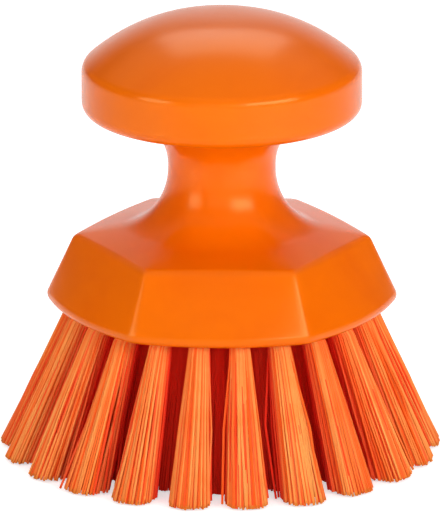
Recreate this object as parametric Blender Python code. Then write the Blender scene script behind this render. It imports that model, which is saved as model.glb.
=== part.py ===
"""A round scrub brush: a one-piece moulded block with a palm knob, and tufts of filament stapled into its face.

The brush stands on its trimmed tips. The origin is the centre of the circle that the tips stand on, +Z is up,
and one flat of the six-sided shoulder faces -Y. All sizes are in metres and all angles in degrees.
"""

import math

import bmesh
import bpy
from mathutils import Matrix, Vector

# Base of the block: a shoulder with six slightly bowed sides, over a rim whose sides bow more. A flat share of 1
# would make the sides straight, and 0 would make them one circle
FACE_HEIGHT = 0.0381
RIM_RADIUS = 0.04575
RIM_FILLET = 0.0020
RIM_FLAT_SHARE = 0.45
SKIRT_HEIGHT = 0.0175
SKIRT_SETBACK = 0.0081
SHOULDER_FLAT_SHARE = 0.77
SHOULDER_FILLET = 0.0026
SHOULDER_CORNER_FILLET = 0.0022
SHOULDER_SLOPE = 11.0
SHOULDER_SIDES = 6

# Neck that the fingers close round
NECK_RADIUS = 0.01365
NECK_LENGTH = 0.02755
SHOULDER_COVE = 0.0160
GRIP_COVE = 0.0133

# Palm knob
KNOB_RADIUS = 0.03545
KNOB_BAND_HEIGHT = 0.01225
KNOB_LIP_FILLET = 0.0034
KNOB_CREASE_FILLET = 0.0030
DOME_RISE = 0.01345
DOME_POWER = 2.5

# Holes and tufts
OUTER_RING_MARGIN = 0.01105
HOLE_RADIUS = 0.0028
HOLE_DEPTH = 0.0110
FIT_GAP = 0.0003
FAN_REACH = 0.0042
STRAND_ROOT_RADIUS = 0.00050
STRAND_TIP_RADIUS = 0.00100
STRAND_BURIAL = 0.0012
CUT_OVERRUN = 0.0020

# Flat wire staple that pins the fold of each tuft into the walls of its hole
STAPLE_THICKNESS = 0.0005
STAPLE_HEIGHT = 0.0020
STAPLE_BITE = 0.0004

# Rings of tufts from the rim inwards: how many tufts, the strands that stand round a tuft's middle one, the
# tufts' lean, and how far the first tuft is turned from the middle of the front flat, as a share of the pitch
RING_NAMES = ("outer", "second", "third", "inner")
RING_TUFTS = (22, 16, 10, 4)
RING_STRANDS = (7, 6, 5, 5)
RING_LEANS = (22.9, 19.0, 14.3, 6.5)
RING_TURN_SHARES = (0.5, 0.0, 0.5, 0.0)
ROOT_SPREAD_SHARE = 0.56
FOLD_RADIUS_SHARE = 0.60
FOLD_LENGTH_SHARE = 0.15
STAPLE_DEPTH_SHARE = 0.72

# Facets
FLAT_STEPS = 7
CORNER_STEPS = 2
DOME_STEPS = 7
COVE_STEPS = 6
FILLET_STEPS = 3
HOLE_STEPS = 4
ROOT_SIDES = 6
STRAND_SIDES = 3

BLOCK_COLOUR = (0.90, 0.17, 0.012, 1.0)
BRISTLE_COLOUR = (0.95, 0.20, 0.040, 1.0)
BLOCK_ROUGHNESS = 0.32
BRISTLE_ROUGHNESS = 0.45
SHARP_ANGLE = 40.0

# Levels and radii that follow from the sizes above
SHOULDER_RADIUS = RIM_RADIUS - SKIRT_SETBACK
SHOULDER_HEIGHT = FACE_HEIGHT + SKIRT_HEIGHT
SHOULDER_RISE = (SHOULDER_RADIUS - NECK_RADIUS) * math.tan(math.radians(SHOULDER_SLOPE))
NECK_FOOT = SHOULDER_HEIGHT + SHOULDER_RISE
KNOB_UNDERSIDE = NECK_FOOT + NECK_LENGTH
KNOB_CREASE = KNOB_UNDERSIDE + KNOB_BAND_HEIGHT
OUTER_RING_RADIUS = RIM_RADIUS - OUTER_RING_MARGIN
ROOT_RADIUS = HOLE_RADIUS - FIT_GAP
ROOT_LENGTH = HOLE_DEPTH - FIT_GAP
STAPLE_REACH = HOLE_RADIUS + STAPLE_BITE
HALF_SIDE_ANGLE = math.pi / SHOULDER_SIDES
RINGS = tuple(zip(RING_NAMES, RING_TUFTS, RING_STRANDS, RING_LEANS, RING_TURN_SHARES))


def clear_scene():
    for thing in list(bpy.data.objects):
        bpy.data.objects.remove(thing, do_unlink=True)


def plastic(name, colour, roughness):
    material = bpy.data.materials.new(name)
    material.use_nodes = True
    shader = material.node_tree.nodes["Principled BSDF"]
    shader.inputs["Base Color"].default_value = colour
    shader.inputs["Roughness"].default_value = roughness
    shader.inputs["Metallic"].default_value = 0.0
    material.diffuse_color = colour
    return material


def mesh_from(bm, name):
    """Turns a bmesh into a mesh whose faces all point outwards, smooth except at its sharp edges."""
    bmesh.ops.recalc_face_normals(bm, faces=bm.faces)
    mesh = bpy.data.meshes.new(name)
    bm.to_mesh(mesh)
    bm.free()
    mesh.shade_smooth()
    mesh.set_sharp_from_angle(angle=math.radians(SHARP_ANGLE))
    return mesh


def place(name, mesh, parent=None, location=(0, 0, 0), turn=0.0):
    thing = bpy.data.objects.new(name, mesh)
    bpy.context.scene.collection.objects.link(thing)
    thing.parent = parent
    thing.location = location
    thing.rotation_euler.z = turn
    return thing


def helper(thing):
    thing.hide_render = True
    thing.display_type = "WIRE"
    return thing


def bridge(bm, rings):
    """Joins a row of rings, each with the same number of points, by faces. Returns the rings of vertices."""
    loops = [[bm.verts.new(point) for point in ring] for ring in rings]
    for upper, lower in zip(loops, loops[1:]):
        for i in range(len(upper)):
            j = (i + 1) % len(upper)
            bm.faces.new((upper[i], lower[i], lower[j], upper[j]))
    return loops


def closed_bar(bm, rings):
    """A bridge with a face over each end."""
    loops = bridge(bm, rings)
    bm.faces.new(loops[0])
    bm.faces.new(loops[-1])
    return loops


def fillet_shares(lengths, needs):
    """How much of its fillet each corner keeps, where two of them don't fit on the stretch between them."""
    shares = [1.0] * len(needs)
    for i, length in enumerate(lengths):
        together = needs[i] + needs[i + 1]
        if together > length:
            shares[i] = min(shares[i], length / together)
            shares[i + 1] = min(shares[i + 1], length / together)
    return shares


def fillet_arc(before, corner, after, radius, steps):
    """Points of the arc that rounds a corner of an outline."""
    back = (before - corner).normalized()
    ahead = (after - corner).normalized()
    sweep = math.pi - back.angle(ahead)
    centre = corner + (back + ahead).normalized() * radius / math.cos(sweep / 2)
    start = corner + back * radius * math.tan(sweep / 2) - centre
    end = corner + ahead * radius * math.tan(sweep / 2) - centre
    arc = []
    for k in range(steps + 1):
        from_end = math.sin(sweep * k / steps) / math.sin(sweep)
        from_start = math.sin(sweep * (steps - k) / steps) / math.sin(sweep)
        arc.append(centre + start * from_start + end * from_end)
    return arc


def rounded_outline(corners):
    """An open outline through corners of (radius, height, fillet, steps)."""
    places = [Vector(corner[:2]) for corner in corners]
    lengths = [(b - a).length for a, b in zip(places, places[1:])]
    needs = [0.0] * len(corners)
    for i in range(1, len(corners) - 1):
        turn = (places[i] - places[i - 1]).angle(places[i + 1] - places[i])
        needs[i] = corners[i][2] * math.tan(turn / 2)
    outline = []
    for i, share in enumerate(fillet_shares(lengths, needs)):
        radius, steps = corners[i][2] * share, corners[i][3]
        if radius > 0:
            outline += fillet_arc(places[i - 1], places[i], places[i + 1], radius, steps)
        else:
            outline.append(places[i])
    return outline


def corner_fillet_centre():
    """How far from the axis the fillet of a corner of the six-sided shoulder has its centre."""
    apothem = SHOULDER_RADIUS * math.cos(HALF_SIDE_ANGLE)
    return (apothem - SHOULDER_CORNER_FILLET) / math.cos(HALF_SIDE_ANGLE)


def corner_angle():
    """Half the angle, seen from the axis, that a rounded corner of the shoulder takes up."""
    along = corner_fillet_centre() + SHOULDER_CORNER_FILLET * math.cos(HALF_SIDE_ANGLE)
    return math.atan2(SHOULDER_CORNER_FILLET * math.sin(HALF_SIDE_ANGLE), along)


def flat_inset(angle):
    """How far the shoulder's six-sided outline lies inside the circle through its corners, at this angle."""
    off_corner = abs((angle + HALF_SIDE_ANGLE) % (2 * HALF_SIDE_ANGLE) - HALF_SIDE_ANGLE)
    if off_corner > corner_angle():
        apothem = SHOULDER_RADIUS * math.cos(HALF_SIDE_ANGLE)
        return SHOULDER_RADIUS - apothem / math.cos(HALF_SIDE_ANGLE - off_corner)
    centre = corner_fillet_centre()
    rest = math.sqrt(SHOULDER_CORNER_FILLET**2 - (centre * math.sin(off_corner)) ** 2)
    return SHOULDER_RADIUS - centre * math.cos(off_corner) - rest


def column_angles():
    """Angles of the block's facets: a few across each rounded corner, and even steps along each flat."""
    side = 2 * HALF_SIDE_ANGLE
    corner = corner_angle()
    angles = []
    for k in range(SHOULDER_SIDES):
        for step in range(CORNER_STEPS):
            angles.append(k * side - corner + 2 * corner * step / CORNER_STEPS)
        for step in range(FLAT_STEPS):
            angles.append(k * side + corner + (side - 2 * corner) * step / FLAT_STEPS)
    return angles


def flat_share(radius, height):
    """How six-sided a level of the block is: 1 with straight sides, less where they bow, and 0 where it is round."""
    if height > NECK_FOOT + NECK_LENGTH / 2:
        return 0.0
    if height > SHOULDER_HEIGHT - SHOULDER_FILLET and radius < SHOULDER_RADIUS:
        return SHOULDER_FLAT_SHARE * max(0.0, radius - NECK_RADIUS) / (SHOULDER_RADIUS - NECK_RADIUS)
    down = (SHOULDER_HEIGHT - height) / SKIRT_HEIGHT
    return SHOULDER_FLAT_SHARE + (RIM_FLAT_SHARE - SHOULDER_FLAT_SHARE) * down


def block_outline():
    """Half of the block's section through a corner, from the edge of the dome's crown down to the rim."""
    corners = []
    for step in range(1, DOME_STEPS):
        share = math.sin(math.pi / 2 * step / DOME_STEPS)
        rise = DOME_RISE * (1 - share**DOME_POWER)
        corners.append((KNOB_RADIUS * share, KNOB_CREASE + rise, 0.0, 0))
    corners += [
        (KNOB_RADIUS, KNOB_CREASE, KNOB_CREASE_FILLET, FILLET_STEPS),
        (KNOB_RADIUS, KNOB_UNDERSIDE, KNOB_LIP_FILLET, FILLET_STEPS),
        (NECK_RADIUS, KNOB_UNDERSIDE, GRIP_COVE, COVE_STEPS),
        (NECK_RADIUS, NECK_FOOT, SHOULDER_COVE, COVE_STEPS),
        (SHOULDER_RADIUS, SHOULDER_HEIGHT, SHOULDER_FILLET, FILLET_STEPS),
        (RIM_RADIUS, FACE_HEIGHT, RIM_FILLET, FILLET_STEPS),
        (0.0, FACE_HEIGHT, 0.0, 0),
    ]
    return rounded_outline(corners)[:-1]


def block_mesh():
    """The whole moulding as one loft: round at the knob and neck, six-sided at the shoulder, rounder at the rim."""
    angles = column_angles()
    rings = []
    for radius, height in block_outline():
        share = flat_share(radius, height)
        ring = []
        for angle in angles:
            reach = radius - flat_inset(angle) * share
            ring.append((reach * math.cos(angle), reach * math.sin(angle), height))
        rings.append(ring)
    bm = bmesh.new()
    loops = bridge(bm, rings)
    crown = bm.verts.new((0, 0, KNOB_CREASE + DOME_RISE))
    for a, b in zip(loops[0], loops[0][1:] + loops[0][:1]):
        bm.faces.new((crown, a, b))
    bm.faces.new(loops[-1])
    return mesh_from(bm, "handle_block")


def tuft_directions(lean):
    """The tuft's own axis, out of its hole, and the two directions across it: outwards and round the ring."""
    angle = math.radians(lean)
    axis = Vector((math.sin(angle), 0, -math.cos(angle)))
    outward = Vector((math.cos(angle), 0, math.sin(angle)))
    return axis, outward, Vector((0, 1, 0))


def hole_outline(outward, around):
    """Section of a hole: a circle with a slot at each side, which the staple's ends cut on their way in."""
    slot_half = STAPLE_THICKNESS / 2 + FIT_GAP
    slot_reach = STAPLE_REACH + FIT_GAP
    slot_angle = math.asin(slot_half / HOLE_RADIUS)
    points = []
    for side in (1, -1):
        for step in range(HOLE_STEPS + 1):
            angle = slot_angle + (math.pi - 2 * slot_angle) * step / HOLE_STEPS
            across = outward * math.sin(angle) + around * math.cos(angle)
            points.append(across * HOLE_RADIUS * side)
        points.append((outward * slot_half - around * slot_reach) * side)
        points.append((outward * -slot_half - around * slot_reach) * side)
    return points


def add_hole(bm, ring_radius, turn, lean):
    """Adds one blind hole's cutter, along the tuft's axis from below the face."""
    axis, outward, around = tuft_directions(lean)
    mouth = Vector((ring_radius, 0, FACE_HEIGHT))
    section = hole_outline(outward, around)
    ends = []
    for along in (CUT_OVERRUN, -HOLE_DEPTH):
        ends.append([mouth + point + axis * along for point in section])
    loops = closed_bar(bm, ends)
    around_z = Matrix.Rotation(turn, 3, "Z")
    bmesh.ops.rotate(bm, verts=loops[0] + loops[1], cent=(0, 0, 0), matrix=around_z)


def root_mesh(lean):
    """The packed root of a tuft: filaments that fill the hole and fold over at its inner end."""
    axis, outward, around = tuft_directions(lean)
    slant = math.tan(math.radians(lean))
    fold_start = ROOT_LENGTH * (1 - FOLD_LENGTH_SHARE)
    mouth, bend, fold = [], [], []
    for side in range(ROOT_SIDES):
        angle = 2 * math.pi * side / ROOT_SIDES
        point = (outward * math.cos(angle) + around * math.sin(angle)) * ROOT_RADIUS
        mouth.append(point + axis * ROOT_RADIUS * math.cos(angle) * slant)
        bend.append(point - axis * fold_start)
        fold.append(point * FOLD_RADIUS_SHARE - axis * ROOT_LENGTH)
    bm = bmesh.new()
    closed_bar(bm, [mouth, bend, fold])
    return mesh_from(bm, "tuft_root")


def add_strand(bm, lean, angle, root_spread, fan):
    """Adds one strand, from inside the root to a flat tip on the plane that the brush stands on."""
    axis, outward, around = tuft_directions(lean)
    root = (outward * math.cos(angle) + around * math.sin(angle)) * root_spread - axis * STRAND_BURIAL
    lean_reach = FACE_HEIGHT * math.tan(math.radians(lean))
    tip = Vector((lean_reach + fan * math.cos(angle), fan * math.sin(angle), -FACE_HEIGHT))
    root_ring, tip_ring = [], []
    for side in range(STRAND_SIDES):
        turn = angle + 2 * math.pi * side / STRAND_SIDES
        across = Vector((math.cos(turn), math.sin(turn), 0))
        root_ring.append(root + across * STRAND_ROOT_RADIUS)
        tip_ring.append(tip + across * STRAND_TIP_RADIUS)
    closed_bar(bm, [root_ring, tip_ring])


def add_staple(bm, lean):
    """Adds the flat wire across the fold, reaching past the root into the slots at both sides of the hole."""
    axis, outward, around = tuft_directions(lean)
    middle = axis * -ROOT_LENGTH * STAPLE_DEPTH_SHARE
    rings = []
    for end in (-1, 1):
        ring = []
        for across, along in ((-1, -1), (1, -1), (1, 1), (-1, 1)):
            offset = outward * across * STAPLE_THICKNESS / 2 + axis * along * STAPLE_HEIGHT / 2
            ring.append(middle + around * end * STAPLE_REACH + offset)
        rings.append(ring)
    closed_bar(bm, rings)


def tuft_mesh(name, strands_around, lean):
    """One tuft, with its root, strands and staple joined into one body and its origin at the hole's mouth."""
    bm = bmesh.new()
    add_strand(bm, lean, 0.0, 0.0, 0.0)
    for k in range(strands_around):
        angle = 2 * math.pi * (k + 1 / 2) / strands_around
        add_strand(bm, lean, angle, ROOT_RADIUS * ROOT_SPREAD_SHARE, FAN_REACH)
    add_staple(bm, lean)
    strands = place("strands", mesh_from(bm, "strands"))
    root = place("root", root_mesh(lean))
    union = root.modifiers.new("join", "BOOLEAN")
    union.operation = "UNION"
    union.solver = "EXACT"
    union.object = strands
    bpy.context.view_layer.update()
    joined = bpy.data.meshes.new_from_object(root.evaluated_get(bpy.context.evaluated_depsgraph_get()))
    joined.name = name
    bpy.data.objects.remove(root)
    bpy.data.objects.remove(strands)
    return joined


def ring_radius(count):
    """Radius of the ring of holes that holds this many tufts, at the same pitch as in the outer ring."""
    return OUTER_RING_RADIUS * count / RING_TUFTS[0]


def tuft_angles(count, turn_share):
    """Angles of a ring's tufts, counted from the middle of the front flat."""
    return [2 * math.pi * (k + turn_share) / count - math.pi / 2 for k in range(count)]


def build_block(parent, material):
    """The moulded block with a blind hole for each tuft."""
    block = place("handle_block", block_mesh(), parent)
    block.data.materials.append(material)
    bm = bmesh.new()
    for _, count, _, lean, turn_share in RINGS:
        for turn in tuft_angles(count, turn_share):
            add_hole(bm, ring_radius(count), turn, lean)
    holes = helper(place("tuft_holes", mesh_from(bm, "tuft_holes"), parent))
    cut = block.modifiers.new("tuft_holes", "BOOLEAN")
    cut.operation = "DIFFERENCE"
    cut.solver = "EXACT"
    cut.object = holes


def build_tufts(parent, material):
    """Every ring of tufts, each tuft its own object, under an empty at the bristle face."""
    for name, count, strands_around, lean, turn_share in RINGS:
        ring = place(f"{name}_ring", None, parent, (0, 0, FACE_HEIGHT))
        mesh = tuft_mesh(f"{name}_tuft", strands_around, lean)
        mesh.materials.clear()
        mesh.materials.append(material)
        radius = ring_radius(count)
        for k, turn in enumerate(tuft_angles(count, turn_share)):
            spot = (radius * math.cos(turn), radius * math.sin(turn), 0)
            place(f"{name}_tuft_{k + 1:02d}", mesh, ring, spot, turn)


def main():
    clear_scene()
    brush = place("brush", None)
    build_block(brush, plastic("orange_polypropylene", BLOCK_COLOUR, BLOCK_ROUGHNESS))
    build_tufts(brush, plastic("orange_polyester", BRISTLE_COLOUR, BRISTLE_ROUGHNESS))


main()
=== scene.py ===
"""Dresses a packed round scrub brush: a satin moulded block, and a dense tuft of filaments in each of its holes.

All sizes are in metres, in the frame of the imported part: the trimmed tips stand on the floor, +Z is up, and one
flat of the six-sided shoulder faces -Y, towards the camera.
"""

import math

import bmesh
import bpy
import numpy as np
from mathutils import Matrix, Vector


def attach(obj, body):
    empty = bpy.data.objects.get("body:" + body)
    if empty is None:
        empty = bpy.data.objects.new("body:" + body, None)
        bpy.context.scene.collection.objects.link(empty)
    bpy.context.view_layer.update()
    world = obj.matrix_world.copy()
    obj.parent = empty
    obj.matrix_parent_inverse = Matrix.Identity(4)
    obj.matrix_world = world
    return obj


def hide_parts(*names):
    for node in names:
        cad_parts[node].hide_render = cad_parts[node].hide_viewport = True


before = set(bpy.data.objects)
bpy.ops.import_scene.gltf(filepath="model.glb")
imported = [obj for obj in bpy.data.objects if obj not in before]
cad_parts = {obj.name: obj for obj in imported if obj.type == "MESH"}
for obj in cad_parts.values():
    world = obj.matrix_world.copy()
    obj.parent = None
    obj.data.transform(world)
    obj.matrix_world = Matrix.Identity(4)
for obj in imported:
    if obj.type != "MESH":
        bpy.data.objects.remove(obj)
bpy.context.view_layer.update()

bl_info = {
    "name": "Round Scrub Brush",
    "version": (1, 0, 0),
    "blender": (4, 5, 0),
    "location": "View3D > Sidebar > Scrub Brush",
    "description": "Builds the block, the bristles and the studio of a round scrub brush",
    "category": "Add Mesh",
}

BODY = "root"
BLOCK_SLOT, BRISTLE_SLOT = "block", "bristle"

# Block: edges, hollows and how finely they are cut into facets
SIDES = 6
HALF_SIDE = math.pi / SIDES
SHOULDER_FLAT_SHARE = 0.90
RIM_FLAT_SHARE = 0.45
ARCH_SHARE = 0.40
RIM_FILLET = 0.0020
SHOULDER_FILLET = 0.0030
RIDGE_FILLET = 0.0016
RIM_RIDGE_FILLET = 0.0034
NECK_RIDGE_FILLET = 0.0200
SHOULDER_COVE = 0.0160
GRIP_COVE = 0.0133
KNOB_LIP_FILLET = 0.0034
KNOB_CREASE_FILLET = 0.0040
DOME_POWER = 2.42
COLUMN_STEPS = 18
COLUMN_CROWDING = 1.7
DOME_STEPS = 26
FILLET_STEPS = 8
COVE_STEPS = 22
SKIRT_STEPS = 10
SHARP_ANGLE = 42.0
EDGE_WIDTH = 0.0011

# Holes of the block
HOLE_DEPTH = 0.0110
HOLE_STEPS = 14
MOUTH_CHAMFER = 0.00025
CUT_OVERRUN = 0.0020
FIT_GAP = 0.0003

# Staple across the fold of each tuft
STAPLE_THICKNESS = 0.0005
STAPLE_HEIGHT = 0.0020
STAPLE_BITE = 0.0004
STAPLE_DEPTH_SHARE = 0.72

# Rings of tufts, from the rim inwards: their number, their lean, and how far the first is turned from the
# middle of the front flat, as a share of the pitch
RING_NAMES = ("outer", "second", "third", "inner")
RING_TUFTS = (22, 16, 10, 4)
RING_LEANS = (22.9, 19.0, 14.3, 6.5)
RING_TURN_SHARES = (0.5, 0.0, 0.5, 0.0)
OUTER_RING_MARGIN = 0.01105
RINGS = tuple(zip(RING_NAMES, RING_TUFTS, RING_LEANS, RING_TURN_SHARES))

# Filaments of a tuft, in layers from its skin to its middle: how far out each layer stands, and how many are in it
LAYER_REACH_SHARES = (1.0, 0.93, 0.72, 0.44, 0.15)
LAYER_FILAMENTS = (52, 48, 24, 14, 4)
PLACE_JITTER_SHARE = 0.020
TIP_JITTER_SHARE = 0.022
INNER_JITTER_SHARE = 0.4
TIP_SQUARENESS = 3.0
STRAND_SIDES = 5
STRAND_STEPS = 3
STRAND_BURIAL = 0.0006
THROAT_SHARE = 0.08
TIP_CHAMFER = 0.00010
TIP_CHAMFER_SHARE = 0.72
PLUG_SIDES = 14
PLUG_FOLD_SHARE = 0.60
PLUG_FOLD_LENGTH_SHARE = 0.15
SHADE_START = 0.56
SHADE_SLOPE = 1.20
COVERED_SHADE = 0.65
STRAY_BEND = 3.0
STRAY_DRAW_IN = 0.5
SKIN, CUT_END, STAPLE = range(3)

PLUG_TONE = 0.5

# Surfaces: how many swirls and grains fit in a metre, how uneven the gloss is, and how strong the grain
BLOCK_SWIRLS, BLOCK_GRAINS, BLOCK_GLOSS_RANGE, BLOCK_GRAIN_STRENGTH = 26.0, 2600.0, 0.05, 0.12
FILAMENT_SWIRLS, FILAMENT_GRAINS, FILAMENT_GLOSS_RANGE, FILAMENT_GRAIN_STRENGTH = 45.0, 6000.0, 0.10, 0.15
GRAIN_DEPTH = 0.00002
SMUDGES_PER_SWIRL = 4.0
# Edges: a painted highlight lightens them by this share, and their roughness drops by this much
PAINTED_EDGE_HIGHLIGHT_SHARE = 0.12
EDGE_SMOOTHNESS = 0.04
SHEARED_LENGTH = 0.0012
SHEARED_SHARE = 0.7
SHADED_ROUGHNESS = 0.35
TEARS, TEAR_STRENGTH, TEAR_DEPTH = 9000.0, 0.5, 0.00004
TORN_COLOUR = (1.0, 0.42, 0.17, 1.0)
TORN_ROUGHNESS = (0.5, 0.75)
WIRE_MARKS = (9000.0, 300.0, 9000.0)
WIRE_DARK, WIRE_LIGHT = (0.52, 0.51, 0.49, 1.0), (0.68, 0.67, 0.65, 1.0)
WIRE_ROUGHNESS = (0.22, 0.42)
FLOOR_ROUGHNESS = 0.9
WHITE = (1.0, 1.0, 1.0, 1.0)
NOISE_SPAN = (0.3, 0.7)
SWIRL_SPAN = (0.35, 0.68)

# Lamps that face the brush: name, degrees to the right of the front flat, degrees up, distance, width and height
LAMPS = (
    ("right lamp", 41, 20, 0.7, 0.52, 0.20),
    ("left lamp", -54, 15, 0.7, 0.30, 0.24),
    ("front lamp", 0, 13, 2.2, 2.20, 0.90),
    ("back lamp", 180, 52, 1.0, 0.62, 0.50),
)
# Low lamps that face away from the brush: name, degrees to the right of the front flat, and width
FLOOR_LAMPS = (("right floor lamp", 44, 0.16), ("left floor lamp", -53, 0.06))
FLOOR_LAMP_DISTANCE = 0.20
FLOOR_LAMP_RISE = 0.12
FLOOR_LAMP_AIM = 0.33
FLOOR_LAMP_HEIGHT = 0.06

# Sky, along an axis of its sphere: where the room fades into its sides, and where the ceiling starts and is full
ROOM_EDGES = (-0.65, -0.05)
CEILING_EDGES = (0.35, 0.80)

# Nearest and farthest that the camera sees
CAMERA_CLIP = (0.1, 30.0)

# Shader editor: size of a grid cell, and the colour sockets of a Mix node
NODE_COLUMN, NODE_ROW = 220, 190
MIX_A, MIX_B, MIX_OUT = 6, 7, 2


def length(name, about, default):
    return bpy.props.FloatProperty(name=name, description=about, default=default, min=0.0, unit="LENGTH", precision=5)


def colour(name, about, *default):
    return bpy.props.FloatVectorProperty(
        name=name, description=about, default=(*default, 1.0), size=4, min=0.0, max=1.0, subtype="COLOR"
    )


def share(name, about, default):
    return bpy.props.FloatProperty(name=name, description=about, default=default, min=0.0, max=1.0, subtype="FACTOR")


def power(name, about, default):
    return bpy.props.FloatProperty(name=name, description=about, default=default, min=0.0, unit="POWER")


def angle(name, about, degrees):
    return bpy.props.FloatProperty(name=name, description=about, default=math.radians(degrees), subtype="ANGLE")


class BrushBlock(bpy.types.PropertyGroup):
    """Sizes and finish of the moulded block."""

    face_height: length("Face height", "Height of the bristle face above the tips", 0.0381)
    rim_radius: length("Rim radius", "From the axis to the rim at one of its six corners", 0.04575)
    skirt_height: length("Skirt height", "From the bristle face up to the edge of the shoulder", 0.0175)
    skirt_setback: length("Skirt setback", "How far the shoulder's corners lie inside the rim's", 0.0081)
    shoulder_rise: length("Shoulder rise", "From the shoulder's edge up to the foot of the neck", 0.00467)
    neck_radius: length("Neck radius", "Radius of the neck where it is thinnest", 0.01365)
    neck_length: length("Neck length", "From the foot of the neck to the underside of the knob", 0.02755)
    knob_radius: length("Knob radius", "Radius of the palm knob", 0.03545)
    band_height: length("Band height", "Height of the knob's upright band", 0.01265)
    dome_rise: length("Dome rise", "From the crease above the band to the top of the dome", 0.01305)
    hole_radius: length("Hole radius", "Radius of the blind hole that holds each tuft", 0.0028)
    pigment: colour("Pigment", "Main colour of the plastic", 0.90, 0.150, 0.0)
    streak: colour("Streak", "Colour of the faint swirls left by the flow of the plastic", 0.86, 0.133, 0.0)
    # Painted highlight: the lighter colour laid along the edges
    painted_edge_highlight: colour("Painted edge highlight", "Colour of the edges, which handling has polished", 0.92, 0.200, 0.015)
    glint: colour("Glint", "Colour of reflections where the surface faces the eye", 1.0, 1.0, 0.40)
    roughness: share("Roughness", "Roughness of the moulded skin", 0.23)
    shine: share("Shine", "Strength of reflections where the surface faces the eye", 0.30)


class BrushBristles(bpy.types.PropertyGroup):
    """Sizes and finish of the filaments."""

    filament_radius: length("Filament radius", "Radius of one filament", 0.00032)
    fan_around: length("Fan around", "How far a tuft's tips reach to either side round the ring", 0.0049)
    fan_outward: length("Fan outward", "How far a tuft's tips reach towards the rim and the axis", 0.0050)
    splay: length("Splay", "How much further out or in the skin of a tuft stands, just below its hole", 0.0013)
    bow: length("Bow", "How far a filament bends off a straight line", 0.00018)
    trim: length("Trim", "How uneven the trimmed ends are", 0.00035)
    sway: length("Sway", "How far a whole tuft's tips stand off their place", 0.0003)
    wander: length("Wander", "How far a stray filament leaves its tuft", 0.0014)
    strays: share("Strays", "Share of the filaments that stray", 0.06)
    light: colour("Light filament", "Colour of the lightest filaments", 1.0, 0.395, 0.102)
    streak: colour("Streak", "Colour of the faint swirls along the filaments", 1.0, 0.315, 0.066)
    deep: colour("Deep filament", "Colour of the deepest filaments", 0.99, 0.125, 0.014)
    sheared: colour("Sheared skin", "Colour of a filament's skin next to its cut end", 0.72, 0.210, 0.022)
    shade: colour("Shaded filament", "Colour that light takes on between the tufts", 1.0, 0.040, 0.018)
    glint: colour("Glint", "Colour of reflections where the surface faces the eye", 1.0, 0.75, 0.35)
    roughness: share("Roughness", "Roughness of the filaments", 0.42)
    shine: share("Shine", "Strength of reflections where the surface faces the eye", 0.20)


class BrushStudio(bpy.types.PropertyGroup):
    """The floor, the lamps and the camera."""

    floor_colour: colour("Floor", "Colour of the floor", 0.80, 0.80, 0.80)
    floor_size: length("Floor size", "Width of the floor", 14.0)
    right_power: power("Right lamp", "Power of the lamp at the front right", 2.5)
    left_power: power("Left lamp", "Power of the lamp at the front left", 1.2)
    front_power: power("Front lamp", "Power of the wide lamp in front", 6.0)
    back_power: power("Back lamp", "Power of the lamp above and behind", 2.2)
    right_floor_power: power("Right floor lamp", "Power of the low lamp that lights the floor at the right", 0.50)
    left_floor_power: power("Left floor lamp", "Power of the low lamp that lights the floor at the left", 0.25)
    floor_glow: share("Floor glow", "How much of the floor's white is its own", 0.60)
    wall_edge: share("Wall edge", "How far behind the brush the white wall starts, on the sky's sphere", 0.76)
    room: share("Room", "Strength of the dim light from the camera's side of the room", 0.12)
    sides: share("Sides", "Strength of the light from the dark sides of the room", 0.08)
    ceiling: share("Ceiling", "Strength of the light from the ceiling", 0.60)
    camera_distance: length("Camera distance", "From the camera to the middle of the brush", 2.45)
    camera_rise: angle("Camera rise", "How far down the camera looks", 16.88)
    camera_turn: angle("Camera turn", "How far right of the front flat's middle the camera stands", 0.9)
    aim_height: length("Aim height", "Height of the point that the camera looks at", 0.0495)
    aim_side: length("Aim side", "How far right of the axis the camera looks", 0.00016)
    lens: bpy.props.FloatProperty(name="Lens", description="Focal length in millimetres", default=675.0, min=1.0)


# Shader nodes


def feed(tree, socket, value):
    """Links an output to an input, or gives the input a plain value."""
    if isinstance(value, bpy.types.NodeSocket):
        tree.links.new(value, socket)
    else:
        socket.default_value = value


def add_node(tree, kind, column, row, inputs=None, **settings):
    """Adds a node in a cell of the editor's grid, with its settings and what its inputs take."""
    made = tree.nodes.new(kind)
    made.location = (column * NODE_COLUMN, -row * NODE_ROW)
    for name, value in settings.items():
        setattr(made, name, value)
    for key, value in (inputs or {}).items():
        feed(tree, made.inputs[key], value)
    return made


def add_maths(tree, operation, column, row, *values):
    made = add_node(tree, "ShaderNodeMath", column, row, dict(enumerate(values)), operation=operation)
    return made.outputs["Value"]


def add_range(tree, column, row, value, low, high, low_out=0.0, high_out=1.0):
    """Maps low to high onto low_out to high_out, smoothly, and holds the ends."""
    ends = {"Value": value, "From Min": low, "From Max": high, "To Min": low_out, "To Max": high_out}
    made = add_node(tree, "ShaderNodeMapRange", column, row, ends, interpolation_type="SMOOTHSTEP")
    return made.outputs["Result"]


def add_mix(tree, column, row, factor, first, second, blend="MIX"):
    inputs = {0: factor, MIX_A: first, MIX_B: second}
    made = add_node(tree, "ShaderNodeMix", column, row, inputs, data_type="RGBA", blend_type=blend)
    return made.outputs[MIX_OUT]


def add_noise(tree, column, row, vector, scale, detail, roughness=0.5, distortion=0.0):
    inputs = {"Vector": vector, "Scale": scale, "Detail": detail, "Roughness": roughness, "Distortion": distortion}
    return add_node(tree, "ShaderNodeTexNoise", column, row, inputs).outputs["Fac"]


def new_group(name, inputs, outputs):
    """An empty shader node group, with sockets given as (name, kind, default) and (name, kind)."""
    tree = bpy.data.node_groups.new(name, "ShaderNodeTree")
    for label, kind, default in inputs:
        tree.interface.new_socket(label, in_out="INPUT", socket_type=kind).default_value = default
    for label, kind in outputs:
        tree.interface.new_socket(label, in_out="OUTPUT", socket_type=kind)
    return tree, add_node(tree, "NodeGroupInput", -5, 0), add_node(tree, "NodeGroupOutput", 4, 0)


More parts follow.
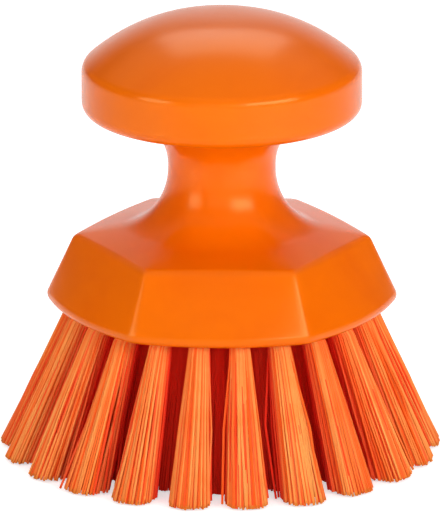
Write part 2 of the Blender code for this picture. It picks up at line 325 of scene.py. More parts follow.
def coloured_plastic_group():
    """Pigment that swirls a little, under a skin whose gloss is uneven and whose grain is fine."""
    name = "coloured plastic"
    if name in bpy.data.node_groups:
        return bpy.data.node_groups[name]
    inputs = (
        ("Pigment", "NodeSocketColor", (1.0, 0.2, 0.0, 1.0)),
        ("Streak", "NodeSocketColor", (0.8, 0.1, 0.0, 1.0)),
        ("Swirl Scale", "NodeSocketFloat", 30.0),
        ("Grain Scale", "NodeSocketFloat", 3000.0),
        ("Roughness", "NodeSocketFloat", 0.3),
        ("Roughness Range", "NodeSocketFloat", 0.05),
    )
    outputs = (("Colour", "NodeSocketColor"), ("Roughness", "NodeSocketFloat"), ("Height", "NodeSocketFloat"))
    tree, given, made = new_group(name, inputs, outputs)
    given = given.outputs
    place = add_node(tree, "ShaderNodeTexCoord", -5, 3).outputs["Object"]
    swirl = add_noise(tree, -3, 0, place, given["Swirl Scale"], detail=3.0, roughness=0.55, distortion=1.2)
    swirl = add_range(tree, -1, 0, swirl, *SWIRL_SPAN)
    smudge_scale = add_maths(tree, "MULTIPLY", -4, 2, given["Swirl Scale"], SMUDGES_PER_SWIRL)
    smudge = add_noise(tree, -3, 2, place, smudge_scale, detail=4.0, roughness=0.65)
    smudge = add_range(tree, -1, 2, smudge, *NOISE_SPAN, low_out=-0.5, high_out=0.5)
    gloss = add_maths(tree, "MULTIPLY_ADD", 1, 2, smudge, given["Roughness Range"], given["Roughness"])
    grain = add_noise(tree, -3, 4, place, given["Grain Scale"], detail=2.0, roughness=0.6)
    feed(tree, made.inputs["Colour"], add_mix(tree, 1, 0, swirl, given["Pigment"], given["Streak"]))
    feed(tree, made.inputs["Roughness"], gloss)
    feed(tree, made.inputs["Height"], grain)
    return tree


def new_material(name):
    """A material with its node tree and its Principled shader."""
    material = bpy.data.materials.new(name)
    material.use_nodes = True
    tree = material.node_tree
    shader = tree.nodes["Principled BSDF"]
    shader.location = (3 * NODE_COLUMN, 0)
    tree.nodes["Material Output"].location = (5 * NODE_COLUMN, 0)
    return material, tree, shader


def add_attribute(tree, column, row, name):
    return add_node(tree, "ShaderNodeAttribute", column, row, attribute_name=name).outputs["Fac"]


def add_bump(tree, column, row, height, strength, distance):
    inputs = {"Height": height, "Strength": strength, "Distance": distance}
    return add_node(tree, "ShaderNodeBump", column, row, inputs).outputs["Normal"]


def moulded_plastic(look):
    """The block's satin plastic: swirled pigment, a fine grain, and edges a little smoother, with a painted
    highlight.
    """
    material, tree, shader = new_material("moulded orange plastic")
    inputs = {
        "Pigment": look.pigment,
        "Streak": look.streak,
        "Swirl Scale": BLOCK_SWIRLS,
        "Grain Scale": BLOCK_GRAINS,
        "Roughness": look.roughness,
        "Roughness Range": BLOCK_GLOSS_RANGE,
    }
    plastic = add_node(tree, "ShaderNodeGroup", -3, 0, inputs, node_tree=coloured_plastic_group()).outputs
    edge = add_attribute(tree, -3, 2, "edge")
    # Painted highlight: the edges are lightened towards this colour
    painted_edge_highlight = add_maths(tree, "MULTIPLY", -1, 2, edge, PAINTED_EDGE_HIGHLIGHT_SHARE)
    feed(tree, shader.inputs["Base Color"], add_mix(tree, 0, 0, painted_edge_highlight, plastic["Colour"], look.painted_edge_highlight))
    smoother = add_maths(tree, "MULTIPLY_ADD", 0, 2, edge, -EDGE_SMOOTHNESS, plastic["Roughness"])
    feed(tree, shader.inputs["Roughness"], smoother)
    grain = add_bump(tree, 1, 3, plastic["Height"], BLOCK_GRAIN_STRENGTH, GRAIN_DEPTH)
    feed(tree, shader.inputs["Normal"], grain)
    shader.inputs["Specular IOR Level"].default_value = look.shine
    shader.inputs["Specular Tint"].default_value = look.glint
    return material


def filament_plastic(look, drop):
    """Filaments of uneven depth, redder where tufts shade them and duller at their ends, a drop below."""
    material, tree, shader = new_material("orange filament")
    inputs = {
        "Pigment": look.light,
        "Streak": look.streak,
        "Swirl Scale": FILAMENT_SWIRLS,
        "Grain Scale": FILAMENT_GRAINS,
        "Roughness": look.roughness,
        "Roughness Range": FILAMENT_GLOSS_RANGE,
    }
    plastic = add_node(tree, "ShaderNodeGroup", -3, 0, inputs, node_tree=coloured_plastic_group()).outputs
    tone = add_attribute(tree, -3, 2, "tone")
    shaded = add_attribute(tree, -3, 3, "shaded")
    toned = add_mix(tree, -1, 0, tone, plastic["Colour"], look.deep)
    place = add_node(tree, "ShaderNodeTexCoord", -5, 5).outputs["Object"]
    height = add_node(tree, "ShaderNodeSeparateXYZ", -4, 5, {"Vector": place}).outputs["Z"]
    end = look.filament_radius + look.trim - drop
    sheared = add_range(tree, -3, 5, height, end, end + SHEARED_LENGTH, SHEARED_SHARE, 0.0)
    toned = add_mix(tree, 0, 0, sheared, toned, look.sheared)
    feed(tree, shader.inputs["Base Color"], add_mix(tree, 1, 0, shaded, toned, look.shade))
    duller = add_maths(tree, "MULTIPLY_ADD", 1, 2, shaded, SHADED_ROUGHNESS, plastic["Roughness"])
    feed(tree, shader.inputs["Roughness"], duller)
    grain = add_bump(tree, 1, 3, plastic["Height"], FILAMENT_GRAIN_STRENGTH, GRAIN_DEPTH)
    feed(tree, shader.inputs["Normal"], grain)
    shader.inputs["Specular IOR Level"].default_value = look.shine
    shader.inputs["Specular Tint"].default_value = look.glint
    return material


def cut_filament_end(look):
    """The sheared end of a filament, paler and rougher than its skin."""
    material, tree, shader = new_material("cut filament end")
    place = add_node(tree, "ShaderNodeTexCoord", -3, 0).outputs["Object"]
    tear = add_noise(tree, -2, 0, place, TEARS, detail=3.0, roughness=0.7)
    feed(tree, shader.inputs["Base Color"], add_mix(tree, 0, 0, tear, look.light, TORN_COLOUR))
    feed(tree, shader.inputs["Roughness"], add_range(tree, 0, 2, tear, *NOISE_SPAN, *TORN_ROUGHNESS))
    feed(tree, shader.inputs["Normal"], add_bump(tree, 1, 3, tear, TEAR_STRENGTH, TEAR_DEPTH))
    return material


def staple_wire():
    """Drawn stainless wire with fine marks along it."""
    material, tree, shader = new_material("staple wire")
    place = add_node(tree, "ShaderNodeTexCoord", -3, 0).outputs["Object"]
    drawn = add_node(tree, "ShaderNodeMapping", -2, 0, {"Vector": place, "Scale": WIRE_MARKS})
    marks = add_noise(tree, -1, 0, drawn.outputs["Vector"], scale=1.0, detail=2.0)
    feed(tree, shader.inputs["Base Color"], add_mix(tree, 0, 0, marks, WIRE_DARK, WIRE_LIGHT))
    feed(tree, shader.inputs["Roughness"], add_range(tree, 0, 2, marks, *NOISE_SPAN, *WIRE_ROUGHNESS))
    shader.inputs["Metallic"].default_value = 1.0
    return material


# Shape of the block


def bridge(bm, rings):
    """Joins a row of rings, each with the same number of points, by faces. Returns the rings of vertices."""
    loops = [[bm.verts.new(point) for point in ring] for ring in rings]
    for upper, lower in zip(loops, loops[1:]):
        for i in range(len(upper)):
            j = (i + 1) % len(upper)
            bm.faces.new((upper[i], lower[i], lower[j], upper[j]))
    return loops


def closed_bar(bm, rings):
    """A bridge with a face over each end."""
    loops = bridge(bm, rings)
    bm.faces.new(loops[0])
    bm.faces.new(loops[-1])
    return loops


def finished_mesh(bm, name):
    """Turns a bmesh into a mesh whose faces all point outwards, smooth except at its sharp edges."""
    bmesh.ops.recalc_face_normals(bm, faces=bm.faces)
    mesh = bpy.data.meshes.new(name)
    bm.to_mesh(mesh)
    bm.free()
    mesh.shade_smooth()
    mesh.set_sharp_from_angle(angle=math.radians(SHARP_ANGLE))
    return mesh


def fillet_arc(before, corner, after, radius, steps):
    """Points of the arc that rounds a corner of an outline."""
    back = (before - corner).normalized()
    ahead = (after - corner).normalized()
    sweep = math.pi - back.angle(ahead)
    centre = corner + (back + ahead).normalized() * radius / math.cos(sweep / 2)
    start = corner + back * radius * math.tan(sweep / 2) - centre
    end = corner + ahead * radius * math.tan(sweep / 2) - centre
    arc = []
    for k in range(steps + 1):
        from_end = math.sin(sweep * k / steps) / math.sin(sweep)
        from_start = math.sin(sweep * (steps - k) / steps) / math.sin(sweep)
        arc.append(centre + start * from_start + end * from_end)
    return arc


def fillet_shares(lengths, needs):
    """How much of its fillet each corner keeps, where two of them don't fit on the stretch between them."""
    shares = [1.0] * len(needs)
    for i, stretch in enumerate(lengths):
        together = needs[i] + needs[i + 1]
        if together > stretch:
            shares[i] = min(shares[i], stretch / together)
            shares[i + 1] = min(shares[i + 1], stretch / together)
    return shares


def rounded_outline(corners):
    """An open outline through corners of (radius, height, fillet, steps)."""
    places = [Vector(corner[:2]) for corner in corners]
    lengths = [(b - a).length for a, b in zip(places, places[1:])]
    needs = [0.0] * len(corners)
    for i in range(1, len(corners) - 1):
        turn = (places[i] - places[i - 1]).angle(places[i + 1] - places[i])
        needs[i] = corners[i][2] * math.tan(turn / 2)
    outline = []
    for i, kept in enumerate(fillet_shares(lengths, needs)):
        radius, steps = corners[i][2] * kept, corners[i][3]
        if radius > 0:
            outline += fillet_arc(places[i - 1], places[i], places[i + 1], radius, steps)
        else:
            outline.append(places[i])
    return outline


def levels(size):
    """Heights of the shoulder's edge, the neck's foot, the knob's underside and its crease."""
    shoulder = size.face_height + size.skirt_height
    foot = shoulder + size.shoulder_rise
    underside = foot + size.neck_length
    return shoulder, foot, underside, underside + size.band_height


def corner_radius(size):
    """From the axis to a corner of the shoulder."""
    return size.rim_radius - size.skirt_setback


def share_down(size, height):
    """0 at the edge of the shoulder and above it, and 1 at the rim."""
    return min(1.0, max(0.0, levels(size)[0] - height) / size.skirt_height)


def share_out(size, radius):
    """0 at the neck, and 1 at the corners of the shoulder and past them."""
    return min(1.0, max(0.0, radius - size.neck_radius) / (corner_radius(size) - size.neck_radius))


def angle_off_corner(angle):
    """How far round the block a direction lies from the nearest of its six ridges."""
    return abs((angle + HALF_SIDE) % (2 * HALF_SIDE) - HALF_SIDE)


def ridge_fillet(size, radius, height):
    """Radius that rounds a ridge: tight at the shoulder's corner, wider down the skirt and in towards the neck."""
    if radius > corner_radius(size):
        return RIDGE_FILLET + (RIM_RIDGE_FILLET - RIDGE_FILLET) * share_down(size, height)
    return RIDGE_FILLET + (NECK_RIDGE_FILLET - RIDGE_FILLET) * (1 - share_out(size, radius))


def flat_inset(size, angle, fillet):
    """How far the shoulder's six-sided outline lies inside the circle through its corners, at this angle."""
    corner = corner_radius(size)
    apothem = corner * math.cos(HALF_SIDE)
    centre = (apothem - fillet) / math.cos(HALF_SIDE)
    off_corner = angle_off_corner(angle)
    rounded = math.atan2(fillet * math.sin(HALF_SIDE), centre + fillet * math.cos(HALF_SIDE))
    if off_corner > rounded:
        return corner - apothem / math.cos(HALF_SIDE - off_corner)
    return corner - centre * math.cos(off_corner) - math.sqrt(fillet**2 - (centre * math.sin(off_corner)) ** 2)


def flat_share(size, radius, height):
    """How six-sided a level of the block is: 1 with straight sides, less where they bow, and 0 where it is round."""
    if height > levels(size)[1] + size.neck_length / 2:
        return 0.0
    bowed = SHOULDER_FLAT_SHARE + (RIM_FLAT_SHARE - SHOULDER_FLAT_SHARE) * share_down(size, height)
    return min(bowed, SHOULDER_FLAT_SHARE * share_out(size, radius))


def side_arch(size, height, inset):
    """How far above its corners a level stands where its side lies this far inside their circle."""
    slope = size.shoulder_rise / (corner_radius(size) - size.neck_radius)
    return ARCH_SHARE * inset * slope * (1 - share_down(size, height))


def column_angles():
    """Angles of the block's columns of points, crowded towards the six ridges."""
    steps = [HALF_SIDE * (k / COLUMN_STEPS) ** COLUMN_CROWDING for k in range(COLUMN_STEPS + 1)]
    angles = []
    for side in range(SIDES):
        corner = 2 * HALF_SIDE * side
        angles += [corner - step for step in reversed(steps[1:])]
        angles += [corner + step for step in steps[:-1]]
    return angles


def block_outline(size):
    """Half of the block's section through a corner, from the edge of the dome's crown down to the rim."""
    shoulder, foot, underside, crease = levels(size)
    corners = []
    for step in range(1, DOME_STEPS):
        reach = math.sin(math.pi / 2 * step / DOME_STEPS)
        # The crease's fillet needs the stretch that the dome's last points would take up
        if size.knob_radius * (1 - reach) > KNOB_CREASE_FILLET / 2:
            corners.append((size.knob_radius * reach, crease + size.dome_rise * (1 - reach**DOME_POWER), 0.0, 0))
    corners += [
        (size.knob_radius, crease, KNOB_CREASE_FILLET, FILLET_STEPS),
        (size.knob_radius, underside, KNOB_LIP_FILLET, FILLET_STEPS),
        (size.neck_radius, underside, GRIP_COVE, COVE_STEPS),
        (size.neck_radius, foot, SHOULDER_COVE, COVE_STEPS),
        (corner_radius(size), shoulder, SHOULDER_FILLET, FILLET_STEPS),
        (size.rim_radius, size.face_height, RIM_FILLET, FILLET_STEPS),
        (0.0, size.face_height, 0.0, 0),
    ]
    return rounded_outline(corners)[:-1]


def stepped(outline, longest):
    """The outline with its long stretches cut into steps."""
    made = [outline[0]]
    for point in outline[1:]:
        count = math.ceil((point - made[-1]).length / longest)
        start = made[-1]
        made += [start.lerp(point, k / count) for k in range(1, count + 1)]
    return made


def block_mesh(size):
    """The whole moulding as one loft: round at the knob and neck, six-sided at the shoulder, bowed at the rim."""
    angles = column_angles()
    draw_in = size.skirt_setback / size.skirt_height
    rings = []
    for radius, height in stepped(block_outline(size), size.skirt_height / SKIRT_STEPS):
        kept = flat_share(size, radius, height)
        fillet = ridge_fillet(size, radius, height)
        ring = []
        for angle in angles:
            inset = flat_inset(size, angle, fillet) * kept
            arch = side_arch(size, height, inset)
            reach = radius - inset - arch * draw_in
            ring.append((reach * math.cos(angle), reach * math.sin(angle), height + arch))
        rings.append(ring)
    bm = bmesh.new()
    loops = bridge(bm, rings)
    crown = bm.verts.new((0, 0, levels(size)[3] + size.dome_rise))
    for a, b in zip(loops[0], loops[0][1:] + loops[0][:1]):
        bm.faces.new((crown, a, b))
    bm.faces.new(loops[-1])
    return finished_mesh(bm, "block")


def tuft_directions(lean):
    """The tuft's own axis, out of its hole, and the two directions across it: outwards and round the ring."""
    angle = math.radians(lean)
    axis = Vector((math.sin(angle), 0, -math.cos(angle)))
    outward = Vector((math.cos(angle), 0, math.sin(angle)))
    return axis, outward, Vector((0, 1, 0))


def ring_radius(size, count):
    """Radius of the ring of holes that holds this many tufts, at the same pitch as in the outer ring."""
    return (size.rim_radius - OUTER_RING_MARGIN) * count / RING_TUFTS[0]


def tuft_angles(count, turn_share):
    """Angles of a ring's tufts, counted from the middle of the front flat."""
    return [2 * math.pi * (k + turn_share) / count - math.pi / 2 for k in range(count)]


def hole_outline(radius, outward, around):
    """Section of a hole: a circle with a slot at each side, which the staple's ends cut on their way in."""
    slot_half = STAPLE_THICKNESS / 2 + FIT_GAP
    slot_reach = radius + STAPLE_BITE + FIT_GAP
    slot_angle = math.asin(slot_half / radius)
    points = []
    for side in (1, -1):
        for step in range(HOLE_STEPS + 1):
            angle = slot_angle + (math.pi - 2 * slot_angle) * step / HOLE_STEPS
            points.append((outward * math.sin(angle) + around * math.cos(angle)) * radius * side)
        points.append((outward * slot_half - around * slot_reach) * side)
        points.append((outward * -slot_half - around * slot_reach) * side)
    return points


def add_hole(bm, size, reach, turn, lean):
    """Adds one blind hole's cutter, along the tuft's axis, with a small chamfer at its mouth."""
    axis, outward, around = tuft_directions(lean)
    mouth = Vector((reach, 0, size.face_height))
    narrow = hole_outline(size.hole_radius, outward, around)
    wide = hole_outline(size.hole_radius + MOUTH_CHAMFER, outward, around)
    rings = []
    for section, along in ((wide, CUT_OVERRUN), (wide, 0.0), (narrow, -MOUTH_CHAMFER), (narrow, -HOLE_DEPTH)):
        rings.append([mouth + point + axis * along for point in section])
    loops = closed_bar(bm, rings)
    points = [vertex for loop in loops for vertex in loop]
    bmesh.ops.rotate(bm, verts=points, cent=(0, 0, 0), matrix=Matrix.Rotation(turn, 3, "Z"))


def cut_holes(size, mesh):
    """The block's mesh with a blind hole for each tuft."""
    bm = bmesh.new()
    for _, count, lean, turn_share in RINGS:
        for turn in tuft_angles(count, turn_share):
            add_hole(bm, size, ring_radius(size, count), turn, lean)
    cutter = bpy.data.objects.new("tuft holes", finished_mesh(bm, "tuft holes"))
    block = bpy.data.objects.new("uncut block", mesh)
    for thing in (cutter, block):
        bpy.context.scene.collection.objects.link(thing)
    cut = block.modifiers.new("tuft holes", "BOOLEAN")
    cut.operation, cut.solver, cut.object = "DIFFERENCE", "EXACT", cutter
    bpy.context.view_layer.update()
    made = bpy.data.meshes.new_from_object(block.evaluated_get(bpy.context.evaluated_depsgraph_get()))
    for thing in (cutter, block):
        bpy.data.objects.remove(thing)
    made.name = "block"
    return made


def closeness(distance):
    return math.exp(-((distance / EDGE_WIDTH) ** 2))


def mark_edges(size, mesh):
    """Stores how near each point is to an edge that sticks out, crease, shoulder, rim or ridge, for a painted
    highlight.
    """
    shoulder, foot, _, crease = levels(size)
    corner = corner_radius(size)
    marks = []
    for vertex in mesh.vertices:
        x, y, z = vertex.co
        radius, angle = math.hypot(x, y), math.atan2(y, x)
        inset = flat_inset(size, angle, RIDGE_FILLET)
        bowed = inset * SHOULDER_FLAT_SHARE
        edges = [
            math.hypot(radius - size.knob_radius, z - crease),
            math.hypot(radius - corner + bowed, z - shoulder - side_arch(size, shoulder, bowed)),
            math.hypot(radius - size.rim_radius + inset * RIM_FLAT_SHARE, z - size.face_height - RIM_FILLET / 2),
        ]
        if size.face_height < z < foot:
            fade = 0.0 if z < shoulder else 1 - share_out(size, radius)
            edges.append(angle_off_corner(angle) * radius + EDGE_WIDTH * fade)
        marks.append(max(closeness(edge) for edge in edges))
    mesh.attributes.new("edge", "FLOAT", "POINT").data.foreach_set("value", marks)


# Shape of the tufts


def strand_places(rng, jitter):
    """Places in a circle of radius 1: a close skin of filaments, and fewer in each layer inside it."""
    layers = []
    for reach, count in zip(LAYER_REACH_SHARES, LAYER_FILAMENTS):
        angle = 2 * math.pi * (np.arange(count) + rng.random()) / count
        layers.append(np.stack([np.cos(angle), np.sin(angle)], axis=1) * reach)
    places = np.concatenate(layers)
    return places + rng.normal(0, PLACE_JITTER_SHARE * jitter, places.shape)


def squared(places):
    """The places drawn out from a circle into a square with round corners."""
    reach = np.linalg.norm(places, axis=1)
    return places * (reach / np.linalg.norm(places, ord=TIP_SQUARENESS, axis=1))[:, None]


def strand_lines(look, size, rng, lean, jitter):
    """The middle line of each filament, as points from inside the hole to the trimmed tip."""
    axis, outward, around = (np.array(v) for v in tuft_directions(lean))
    places = strand_places(rng, jitter)
    count = len(places)
    root_reach = size.hole_radius - FIT_GAP - look.filament_radius
    mouths = places[:, :1] * outward * root_reach + places[:, 1:] * around * root_reach
    tip_places = squared(places) + rng.normal(0, TIP_JITTER_SHARE * jitter, places.shape)
    lean_reach = size.face_height * math.tan(math.radians(lean))
    tips = np.zeros((count, 3))
    tips[:, 0] = lean_reach + tip_places[:, 0] * look.fan_outward
    tips[:, 1] = tip_places[:, 1] * look.fan_around
    tips[:, :2] += rng.normal(0, look.sway, 2)
    stray = rng.random(count) < look.strays
    wander = rng.normal(0, look.wander, (count, 2))
    wander[:, 0] = -np.abs(wander[:, 0]) * STRAY_DRAW_IN
    tips[:, :2] += wander * stray[:, None]
    height = look.filament_radius + np.abs(rng.normal(0, look.trim, count))
    tips[:, 2] = height - size.face_height
    bend = rng.normal(0, look.bow, (count, 2)) * np.where(stray, STRAY_BEND, 1.0)[:, None]
    throats = mouths * (1 - THROAT_SHARE) + tips * THROAT_SHARE
    throats[:, 0] += places[:, 0] * look.splay
    along = np.linspace(0, 1, STRAND_STEPS)[None, :, None]
    lines = throats[:, None] * (1 - along) + tips[:, None] * along
    lines[:, :, :2] += bend[:, None] * np.sin(math.pi * along)
    roots = mouths - axis * STRAND_BURIAL
    return np.concatenate([roots[:, None], lines], axis=1), places


def strand_rings(look, lines):
    """Rings of points round each filament's line, the last one drawn in for the chamfer of the cut tip."""
    chord = lines[:, -1] - lines[:, 0]
    chord /= np.linalg.norm(chord, axis=1)[:, None]
    side = np.cross(chord, np.array((0.0, 1.0, 0.0)))
    side /= np.linalg.norm(side, axis=1)[:, None]
    other = np.cross(chord, side)
    tips = lines[:, -1:]
    lines = np.concatenate([lines[:, :-1], tips - chord[:, None] * TIP_CHAMFER, tips], axis=1)
    radii = np.full(lines.shape[1], look.filament_radius)
    radii[-1] *= TIP_CHAMFER_SHARE
    turn = 2 * math.pi * np.arange(STRAND_SIDES) / STRAND_SIDES
    across = side[:, None] * np.cos(turn)[None, :, None] + other[:, None] * np.sin(turn)[None, :, None]
    return lines[:, :, None] + across[:, None] * radii[None, :, None, None]


def strand_faces(count, rings):
    """Faces of the tubes and their ends, in the order that strand_rings gives the points."""
    sides, ends = [], []
    for strand in range(count):
        first = strand * rings * STRAND_SIDES
        for ring in range(rings - 1):
            for k in range(STRAND_SIDES):
                a = first + ring * STRAND_SIDES + k
                b = first + ring * STRAND_SIDES + (k + 1) % STRAND_SIDES
                sides.append((a, b, b + STRAND_SIDES, a + STRAND_SIDES))
        last = first + (rings - 1) * STRAND_SIDES
        sides.append(tuple(first + k for k in reversed(range(STRAND_SIDES))))
        ends.append(tuple(last + k for k in range(STRAND_SIDES)))
    return sides, ends


def plug_rings(size, lean):
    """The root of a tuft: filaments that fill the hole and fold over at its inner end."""
    axis, outward, around = tuft_directions(lean)
    radius, depth = size.hole_radius - FIT_GAP, HOLE_DEPTH - FIT_GAP
    slant = math.tan(math.radians(lean))
    mouth, bend, fold = [], [], []
    for side in range(PLUG_SIDES):
        angle = 2 * math.pi * side / PLUG_SIDES
        point = (outward * math.cos(angle) + around * math.sin(angle)) * radius
        mouth.append(point + axis * radius * math.cos(angle) * slant)
        bend.append(point - axis * depth * (1 - PLUG_FOLD_LENGTH_SHARE))
        fold.append(point * PLUG_FOLD_SHARE - axis * depth)
    return [mouth, bend, fold]


def staple_rings(size, lean):
    """The flat wire across the fold, reaching past the root into the slots at both sides of the hole."""
    axis, outward, around = tuft_directions(lean)
    middle = axis * -(HOLE_DEPTH - FIT_GAP) * STAPLE_DEPTH_SHARE
    rings = []
    for end in (-1, 1):
        offsets = [(a * STAPLE_THICKNESS / 2, b * STAPLE_HEIGHT / 2) for a, b in ((-1, -1), (1, -1), (1, 1), (-1, 1))]
        reach = middle + around * end * (size.hole_radius + STAPLE_BITE)
        rings.append([reach + outward * a + axis * b for a, b in offsets])
    return rings


def depth_of_shade(places, inner):
    """0 for filaments that face out of the brush, and 1 for those that the tufts in front keep in the dark."""
    if inner:
        return np.ones(len(places))
    covered = np.arange(len(places)) >= LAYER_FILAMENTS[0]
    return np.clip(SHADE_START - places[:, 0] * SHADE_SLOPE, COVERED_SHADE * covered, 1)


def tuft_mesh(look, size, name, rng, lean, inner):
    """One tuft: its filaments, the folded root that fills its hole, and the staple through the fold."""
    lines, places = strand_lines(look, size, rng, lean, INNER_JITTER_SHARE if inner else 1.0)
    rings = strand_rings(look, lines)
    count, ring_count = rings.shape[:2]
    sides, ends = strand_faces(count, ring_count)
    points = rings.reshape(-1, 3).tolist()
    root = plug_rings(size, lean)
    bm = bmesh.new()
    for bar in (root, staple_rings(size, lean)):
        closed_bar(bm, bar)
    bmesh.ops.recalc_face_normals(bm, faces=bm.faces)
    first = len(points)
    bm.verts.index_update()
    points += [tuple(vertex.co) for vertex in bm.verts]
    plug_points = PLUG_SIDES * len(root)
    plug, staple = [], []
    for face in bm.faces:
        corners = [vertex.index for vertex in face.verts]
        (plug if corners[0] < plug_points else staple).append([first + c for c in corners])
    bm.free()
    mesh = bpy.data.meshes.new(name)
    mesh.from_pydata(points, [], sides + ends + plug + staple)
    kinds = [SKIN] * len(sides) + [CUT_END] * len(ends) + [SKIN] * len(plug) + [STAPLE] * len(staple)
    mesh.polygons.foreach_set("material_index", kinds)
    per_strand = ring_count * STRAND_SIDES
    extra = len(points) - first
    tone = np.concatenate([np.repeat(rng.random(count), per_strand), np.full(extra, PLUG_TONE)])
    mesh.attributes.new("tone", "FLOAT", "POINT").data.foreach_set("value", tone)
    shaded = np.concatenate([np.repeat(depth_of_shade(places, inner), per_strand), np.ones(extra)])
    mesh.attributes.new("shaded", "FLOAT", "POINT").data.foreach_set("value", shaded)
    mesh.shade_smooth()
    mesh.set_sharp_from_angle(angle=math.radians(SHARP_ANGLE))
    return mesh


# Operators


def add_piece(name, mesh, slot, *nodes):
    """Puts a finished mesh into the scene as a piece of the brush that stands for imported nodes."""
    piece = bpy.data.objects.new(name, mesh)
    bpy.context.scene.collection.objects.link(piece)
    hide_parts(*nodes)
    return piece


class SCRUB_OT_block(bpy.types.Operator):
    """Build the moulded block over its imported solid"""

    bl_idname = "scrub.block"
    bl_label = "Moulded block"

    def execute(self, context):
        size = context.scene.brush_block
        mesh = cut_holes(size, block_mesh(size))
        mark_edges(size, mesh)
        mesh.materials.clear()
        mesh.materials.append(moulded_plastic(size))
        block = add_piece("block", mesh, BLOCK_SLOT, "handle_block")
        weighted = block.modifiers.new("even shading", "WEIGHTED_NORMAL")
        weighted.keep_sharp = True
        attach(block, BODY)
        return {"FINISHED"}


class SCRUB_OT_bristles(bpy.types.Operator):
    """Build the tufts of filament, ring by ring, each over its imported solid"""

    bl_idname = "scrub.bristles"
    bl_label = "Bristles"

    def execute(self, context):
        size, look = context.scene.brush_block, context.scene.brush_bristles
        finishes = (filament_plastic(look, size.face_height), cut_filament_end(look), staple_wire())
        for ring, (name, count, lean, turn_share) in enumerate(RINGS):
            radius = ring_radius(size, count)
            for k, turn in enumerate(tuft_angles(count, turn_share)):
                rng = np.random.default_rng((ring, k))
                mesh = tuft_mesh(look, size, f"{name}_bristles", rng, lean, inner=ring > 0)
                for finish in finishes:
                    mesh.materials.append(finish)
                tuft = add_piece(f"{name}_bristles_{k + 1:02d}", mesh, BRISTLE_SLOT, f"{name}_tuft_{k + 1:02d}")
                tuft.location = (radius * math.cos(turn), radius * math.sin(turn), size.face_height)
                tuft.rotation_euler.z = turn
                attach(tuft, BODY)
        return {"FINISHED"}


def direction(turn, rise):
    """A direction from the brush: turned from the front flat to the brush's right, and raised."""
    return Vector((math.sin(turn) * math.cos(rise), -math.cos(turn) * math.cos(rise), math.sin(rise)))


def add_lamp(name, place, target, width, height, watts):
    """A soft box that stands at a place and faces a target."""
    light = bpy.data.lights.new(name, "AREA")
    light.shape, light.size, light.size_y, light.energy = "RECTANGLE", width, height, watts
    lamp = bpy.data.objects.new(name, light)
    lamp.location = place
    lamp.rotation_euler = (place - target).to_track_quat("Z", "Y").to_euler()
    lamp.visible_camera = False
    bpy.context.scene.collection.objects.link(lamp)


def add_lamps(look, aim):
    """Soft boxes round the brush, and two low ones that face away from it and light the floor it mirrors."""
    powers = (look.right_power, look.left_power, look.front_power, look.back_power)
    for (name, turn, rise, distance, width, height), watts in zip(LAMPS, powers):
        place = aim + direction(math.radians(turn), math.radians(rise)) * distance
        add_lamp(name, place, aim, width, height, watts)
    powers = (look.right_floor_power, look.left_floor_power)
    for (name, turn, width), watts in zip(FLOOR_LAMPS, powers):
        out = direction(math.radians(turn), 0)
        place = out * FLOOR_LAMP_DISTANCE + Vector((0, 0, FLOOR_LAMP_RISE))
        add_lamp(name, place, out * FLOOR_LAMP_AIM, width, FLOOR_LAMP_HEIGHT, watts)


def seen_directly(tree, column, row):
    """1 for what the camera sees, straight or by a reflection or through glass, and 0 for light that spreads."""
    path = add_node(tree, "ShaderNodeLightPath", column, row).outputs
    seen = add_maths(tree, "MAXIMUM", column + 1, row, path["Is Camera Ray"], path["Is Glossy Ray"])
    return add_maths(tree, "MAXIMUM", column + 2, row, seen, path["Is Transmission Ray"])


def add_floor(look):
    """A pale matt floor. Its own glow makes it white where the camera sees it, and the brush still shades it."""
    mesh = bpy.data.meshes.new("floor")
    half = look.floor_size / 2
    mesh.from_pydata([(-half, -half, 0), (half, -half, 0), (half, half, 0), (-half, half, 0)], [], [(0, 1, 2, 3)])
    material, tree, shader = new_material("floor")
    shader.inputs["Base Color"].default_value = look.floor_colour
    shader.inputs["Roughness"].default_value = FLOOR_ROUGHNESS
    shader.inputs["Specular IOR Level"].default_value = 0.0
    shader.inputs["Emission Color"].default_value = WHITE
    glow = add_maths(tree, "MULTIPLY", 1, 1, seen_directly(tree, -3, 1), look.floor_glow)
    feed(tree, shader.inputs["Emission Strength"], glow)
    mesh.materials.append(material)
    floor = bpy.data.objects.new("floor", mesh)
    bpy.context.scene.collection.objects.link(floor)


def add_sky(look):
    """A white wall behind the brush, a ceiling, and a dim room whose sides are darker still."""
    world = bpy.data.worlds.new("studio")
    world.use_nodes = True
    tree = world.node_tree
    back = tree.nodes["Background"]
    towards = add_node(tree, "ShaderNodeTexCoord", -6, 0).outputs["Generated"]
    parts = add_node(tree, "ShaderNodeSeparateXYZ", -5, 0, {"Vector": towards}).outputs
    room = add_range(tree, -4, 0, parts["Y"], *ROOM_EDGES, look.room, look.sides)
    above = add_range(tree, -4, 1, parts["Z"], *CEILING_EDGES, 0.0, look.ceiling)
    wall = add_range(tree, -4, 2, parts["Y"], look.wall_edge, 1.0)
    strength = add_maths(tree, "MAXIMUM", -3, 0, add_maths(tree, "MAXIMUM", -2, 0, room, above), wall)
    back.inputs["Color"].default_value = WHITE
    feed(tree, back.inputs["Strength"], strength)
    bpy.context.scene.world = world


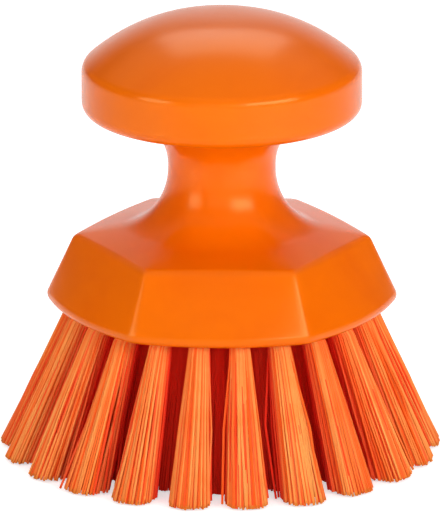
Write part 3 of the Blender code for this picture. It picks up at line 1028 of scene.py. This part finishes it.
class SCRUB_OT_studio(bpy.types.Operator):
    """Build the floor, the lamps and the camera"""

    bl_idname = "scrub.studio"
    bl_label = "Studio"

    def execute(self, context):
        look = context.scene.brush_studio
        aim = Vector((look.aim_side, 0, look.aim_height))
        add_floor(look)
        add_sky(look)
        add_lamps(look, aim)
        back = direction(look.camera_turn, look.camera_rise)
        camera = bpy.data.cameras.new("camera")
        camera.lens = look.lens
        camera.clip_start, camera.clip_end = CAMERA_CLIP
        viewer = bpy.data.objects.new("camera", camera)
        viewer.location = aim + back * look.camera_distance
        viewer.rotation_euler = back.to_track_quat("Z", "Y").to_euler()
        context.scene.collection.objects.link(viewer)
        context.scene.camera = viewer
        context.scene.view_settings.view_transform = "Standard"
        return {"FINISHED"}


class SCRUB_PT_panel(bpy.types.Panel):
    """Sizes, finishes and steps of the scrub brush"""

    bl_idname = "SCRUB_PT_panel"
    bl_label = "Scrub Brush"
    bl_space_type = "VIEW_3D"
    bl_region_type = "UI"
    bl_category = "Scrub Brush"

    def draw(self, context):
        for kind, settings, _ in STEPS:
            box = self.layout.box()
            group = getattr(context.scene, settings)
            for name in group.bl_rna.properties.keys():
                if name not in ("rna_type", "name"):
                    box.prop(group, name)
            box.operator(kind.bl_idname)


STEPS = (
    (SCRUB_OT_block, "brush_block", BrushBlock),
    (SCRUB_OT_bristles, "brush_bristles", BrushBristles),
    (SCRUB_OT_studio, "brush_studio", BrushStudio),
)


def register():
    for kind, settings, group in STEPS:
        bpy.utils.register_class(group)
        bpy.utils.register_class(kind)
        setattr(bpy.types.Scene, settings, bpy.props.PointerProperty(type=group))
    bpy.utils.register_class(SCRUB_PT_panel)


def unregister():
    bpy.utils.unregister_class(SCRUB_PT_panel)
    for kind, settings, group in reversed(STEPS):
        delattr(bpy.types.Scene, settings)
        bpy.utils.unregister_class(kind)
        bpy.utils.unregister_class(group)


def main():
    register()
    bpy.ops.scrub.block()
    bpy.ops.scrub.bristles()
    bpy.ops.scrub.studio()


if __name__ == "__main__":
    main()
